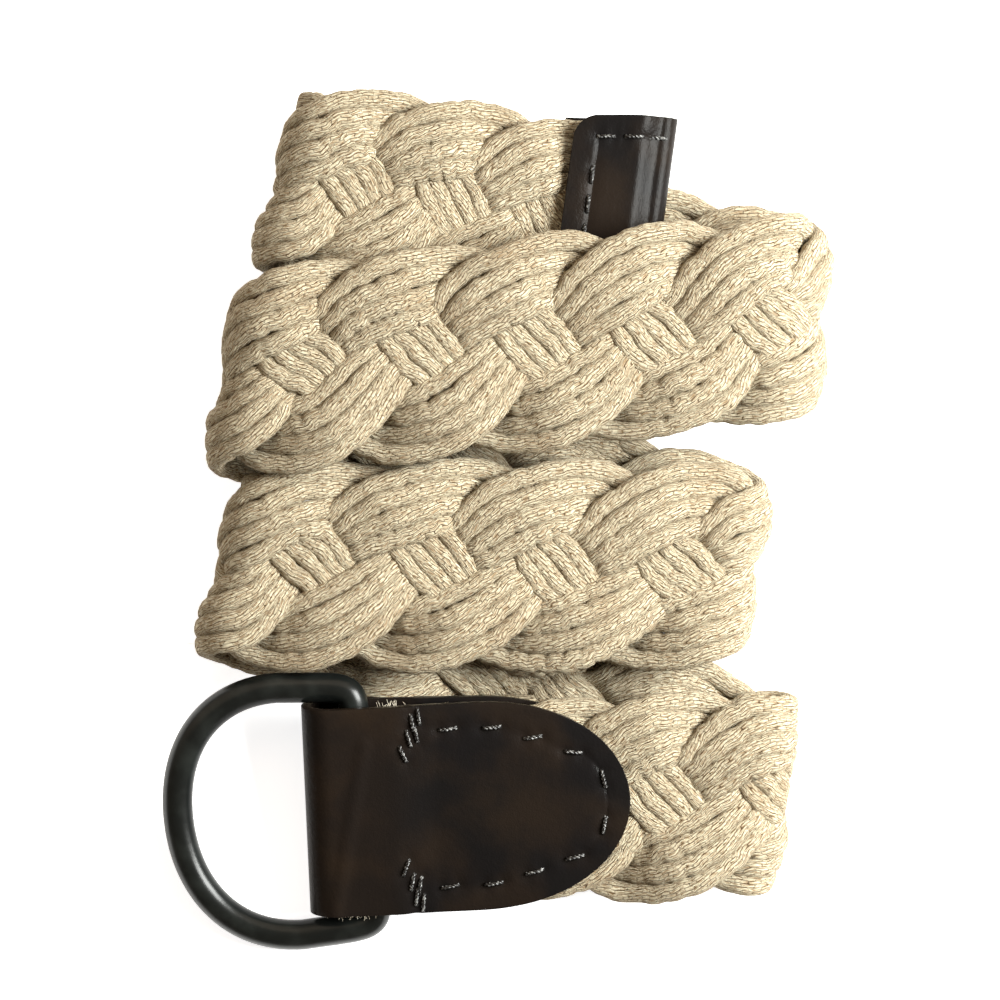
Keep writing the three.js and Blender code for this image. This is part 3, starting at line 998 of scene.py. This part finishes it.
def cotton_material():
    mat, tree, shader = new_material("cream_cotton", 0.95, Specular_IOR_Level=0.15)
    uv = add_node(tree, "UVMap", uv_map="UVMap").outputs[0]
    parts = add_node(tree, "SeparateXYZ", {0: uv}).outputs
    bend = add_node(tree, "TexNoise", {"Vector": uv, "Scale": 0.45, "Detail": 2.0}).outputs["Color"]
    bends = add_node(tree, "SeparateXYZ", {0: bend}).outputs
    along = maths(tree, "ADD", parts[0], maths(tree, "MULTIPLY", bends[0], YARN_SWAY))
    twist = maths(tree, "MULTIPLY", parts[0], YARN_TWIST)
    twisted = maths(tree, "ADD", parts[1], twist)
    round_it = maths(tree, "ADD", twisted, maths(tree, "MULTIPLY", bends[1], YARN_BEND))
    yarns = add_node(tree, "CombineXYZ", {0: along, 1: round_it}).outputs[0]
    bricks = {"Vector": yarns, "Scale": 1.0, "Mortar Size": 0.13, "Mortar Smooth": 0.8}
    bricks.update({"Brick Width": 2.3, "Row Height": 1.0, "Bias": 0.0})
    bricks.update({"Color1": (1, 1, 1, 1), "Color2": (0.45, 0.45, 0.45, 1), "Mortar": (0, 0, 0, 1)})
    brick = add_node(tree, "TexBrick", bricks).outputs
    stretched = {0: maths(tree, "MULTIPLY", along, 0.6), 1: maths(tree, "MULTIPLY", round_it, 3.2)}
    strokes = add_node(tree, "CombineXYZ", stretched).outputs[0]
    fibre_look = {"Vector": strokes, "Scale": 1.0, "Detail": 4.0, "Roughness": 0.65}
    fibres = add_node(tree, "TexNoise", fibre_look).outputs["Fac"]
    place_at = add_node(tree, "TexCoord").outputs["Object"]
    patch_look = {"Vector": place_at, "Scale": PATCH_SCALE, "Detail": 3.0}
    patches = add_node(tree, "TexNoise", patch_look).outputs["Fac"]
    # Tan where the fibre noise is low, where the bump sinks too: partly the yarn's tone, partly painted
    # shade.
    tone = blend(tree, ramp(tree, fibres, 0.38, 0.63), TAN_AND_SHADE, CREAM)
    tone = blend(tree, maths(tree, "MULTIPLY", ramp(tree, patches, 0.50, 0.75), 0.35), tone, TAN_AND_SHADE)
    # Painted shade: the mortar between the stitch bricks, where the bump sinks, is darkened towards dark
    # brown.
    shade = maths(tree, "MULTIPLY", brick["Fac"], ramp(tree, fibres, 0.75, 0.35))
    tone = blend(tree, maths(tree, "MULTIPLY", shade, 0.85), tone, PAINTED_GROOVE_SHADE)
    tree.links.new(tone, shader.inputs["Base Color"])
    relief = maths(tree, "SUBTRACT", maths(tree, "MULTIPLY", fibres, 1.1), brick["Fac"])
    raised = {"Height": relief, "Distance": YARN_RAISED, "Strength": 1.0}
    tree.links.new(add_node(tree, "Bump", raised).outputs[0], shader.inputs["Normal"])
    return mat


cotton = cotton_material()
for piece in strands + [fuzz]:
    piece.data.materials.append(cotton)
bare, _, shader = new_material("bare_thread", 0.9, Specular_IOR_Level=0.15)
shader.inputs["Base Color"].default_value = BARE
loose.data.materials.append(bare)


# %% Leather, its raw edge and its thread
# Where the tab turns browner towards its fold, on the left: partly its own tint, partly painted sheen.
FOLD_TINT_AND_SHEEN_TO = (-0.014, -0.028)
DYED_DARK, DYED_BROWN = (0.0064, 0.0057, 0.0057, 1), (0.0165, 0.0108, 0.0072, 1)
RAW_DARK, RAW_RED = (0.06, 0.026, 0.02, 1), (0.17, 0.075, 0.055, 1)
# The thread's black, and the light grey painted on it as glints.
WAX_BLACK, WAX_GLINT = (0.012, 0.011, 0.011, 1), (0.19, 0.19, 0.185, 1)
LEATHER_RAISED = 0.09 * MM


def leather_material(name, dark, brown, rough):
    """Dark leather with browner patches, and browner still towards the tab's fold, partly its own tint and
    partly painted sheen.
    """
    mat, tree, shader = new_material(name, rough, Specular_IOR_Level=0.06)
    place_at = add_node(tree, "TexCoord").outputs["Object"]
    patches = add_node(tree, "TexNoise", {"Vector": place_at, "Scale": 55.0, "Detail": 5.0}).outputs["Fac"]
    grain = add_node(tree, "TexVoronoi", {"Vector": place_at, "Scale": 2600.0}).outputs["Distance"]
    pores = add_node(tree, "TexNoise", {"Vector": place_at, "Scale": 900.0, "Detail": 3.0}).outputs["Fac"]
    across = add_node(tree, "SeparateXYZ", {0: place_at}).outputs[0]
    # Browner towards the tab's fold: partly the leather's own tint, partly painted sheen.
    fold_tint_and_sheen = maths(tree, "MULTIPLY", ramp(tree, across, *FOLD_TINT_AND_SHEEN_TO), 0.35)
    share = maths(tree, "ADD", maths(tree, "MULTIPLY", ramp(tree, patches, 0.38, 0.68), 0.65), fold_tint_and_sheen)
    tone = blend(tree, share, dark, brown)
    tree.links.new(tone, shader.inputs["Base Color"])
    gloss = maths(tree, "ADD", rough, maths(tree, "MULTIPLY", patches, 0.12))
    tree.links.new(gloss, shader.inputs["Roughness"])
    height = maths(tree, "ADD", maths(tree, "MULTIPLY", grain, 0.4), pores)
    raised = {"Height": height, "Distance": LEATHER_RAISED, "Strength": 0.9}
    tree.links.new(add_node(tree, "Bump", raised).outputs[0], shader.inputs["Normal"])
    return mat


leather = leather_material("dark_leather", DYED_DARK, DYED_BROWN, 0.24)
raw_edge = leather_material("raw_edge", RAW_DARK, RAW_RED, 0.6)
for piece, cut in ((tab, raw_edge), (cap, leather)):
    piece.data.materials.clear()
    piece.data.materials.append(leather)
    piece.data.materials.append(cut)


def thread_material():
    """Black waxed thread with light grey spots painted on as glints."""
    mat, tree, shader = new_material("waxed_thread", 0.3)
    place_at = add_node(tree, "TexCoord").outputs["Object"]
    glint_flecks = add_node(tree, "TexNoise", {"Vector": place_at, "Scale": 1500.0, "Detail": 2.0}).outputs["Fac"]
    # Painted glints: light grey spots of colour stand in for the shine on the waxed thread.
    tone = blend(tree, ramp(tree, glint_flecks, 0.53, 0.62), WAX_BLACK, WAX_GLINT)
    tree.links.new(tone, shader.inputs["Base Color"])
    return mat


thread = thread_material()
for piece in (tab_thread, cap_thread):
    piece.data.materials.append(thread)


# %% Black metal
RING_BLACK, RING_WORN = (0.005, 0.006, 0.0057, 1), (0.012, 0.014, 0.013, 1)


def ring_material():
    mat, tree, shader = new_material("black_ring", 0.28, Specular_IOR_Level=0.3)
    place_at = add_node(tree, "TexCoord").outputs["Object"]
    wear = add_node(tree, "TexNoise", {"Vector": place_at, "Scale": 140.0, "Detail": 4.0}).outputs["Fac"]
    tone = blend(tree, ramp(tree, wear, 0.4, 0.7), RING_BLACK, RING_WORN)
    tree.links.new(tone, shader.inputs["Base Color"])
    dents = add_node(tree, "TexNoise", {"Vector": place_at, "Scale": 320.0, "Detail": 2.0}).outputs["Fac"]
    raised = {"Height": dents, "Distance": 0.1 * MM, "Strength": 0.5}
    tree.links.new(add_node(tree, "Bump", raised).outputs[0], shader.inputs["Normal"])
    return mat


ring.data.materials.append(ring_material())

# %% [markdown]
# ## The table, the light and the camera
#
# The table is a white panel that glows a little, as photographers use, so that shadows nearly vanish on
# it. The key light stands close by on the right, so that every leaf is bright on its right side. Two weak
# warm lights and a warm world fill the shadows, which are brown in the picture. The camera looks straight
# down.

# %% The table
bpy.ops.object.select_all(action="DESELECT")
bpy.ops.mesh.primitive_plane_add(size=6, location=(0, 0, -0.0002))
table = bpy.context.object
table.name = "table_top"
pale, _, shader = new_material("pale_table", 0.9)
shader.inputs["Base Color"].default_value = (0.95, 0.95, 0.95, 1)
shader.inputs["Emission Color"].default_value = (0.95, 0.97, 1, 1)
shader.inputs["Emission Strength"].default_value = 0.8
table.data.materials.append(pale)


# %% The lights
def soft_light(name, place_at, size, watts, colour):
    bpy.ops.object.light_add(type="AREA", location=place_at)
    lamp = bpy.context.object
    lamp.name = name
    lamp.data.size = size
    lamp.data.energy = watts
    lamp.data.color = colour
    lamp.rotation_euler = (Vector((0, 0, 0)) - Vector(place_at)).to_track_quat("-Z", "Y").to_euler()
    return lamp


WARM = (1.0, 0.82, 0.62)
WHITE = (0.98, 1.0, 0.97)
LIGHTS = [
    ("key", (0.48, 0.10, 0.41), 0.36, 14.5, WHITE),
    ("fill", (-0.8, 0.5, 0.8), 1.2, 3, WARM),
    ("back", (0.1, 0.9, 0.8), 1.0, 3, WARM),
]
for row in LIGHTS:
    soft_light(*row)
world = bpy.data.worlds.new("studio")
world.use_nodes = True
world.node_tree.nodes["Background"].inputs["Color"].default_value = (*WARM, 1)
world.node_tree.nodes["Background"].inputs["Strength"].default_value = 0.22
bpy.context.scene.world = world
bpy.context.scene.view_settings.view_transform = "Standard"

# %% The camera
FRAME_WIDTH = 0.230
CAMERA_HEIGHT = 1.0
MID_HEIGHT = 0.015
LOOK_AT = (0.0015, 0.0051)
SENSOR = 36
camera_data = bpy.data.cameras.new("camera")
camera = bpy.data.objects.new("camera", camera_data)
bpy.context.collection.objects.link(camera)
camera.location = (*LOOK_AT, CAMERA_HEIGHT + MID_HEIGHT)
camera_data.sensor_width = SENSOR
camera_data.lens = SENSOR * CAMERA_HEIGHT / FRAME_WIDTH
bpy.context.scene.camera = camera
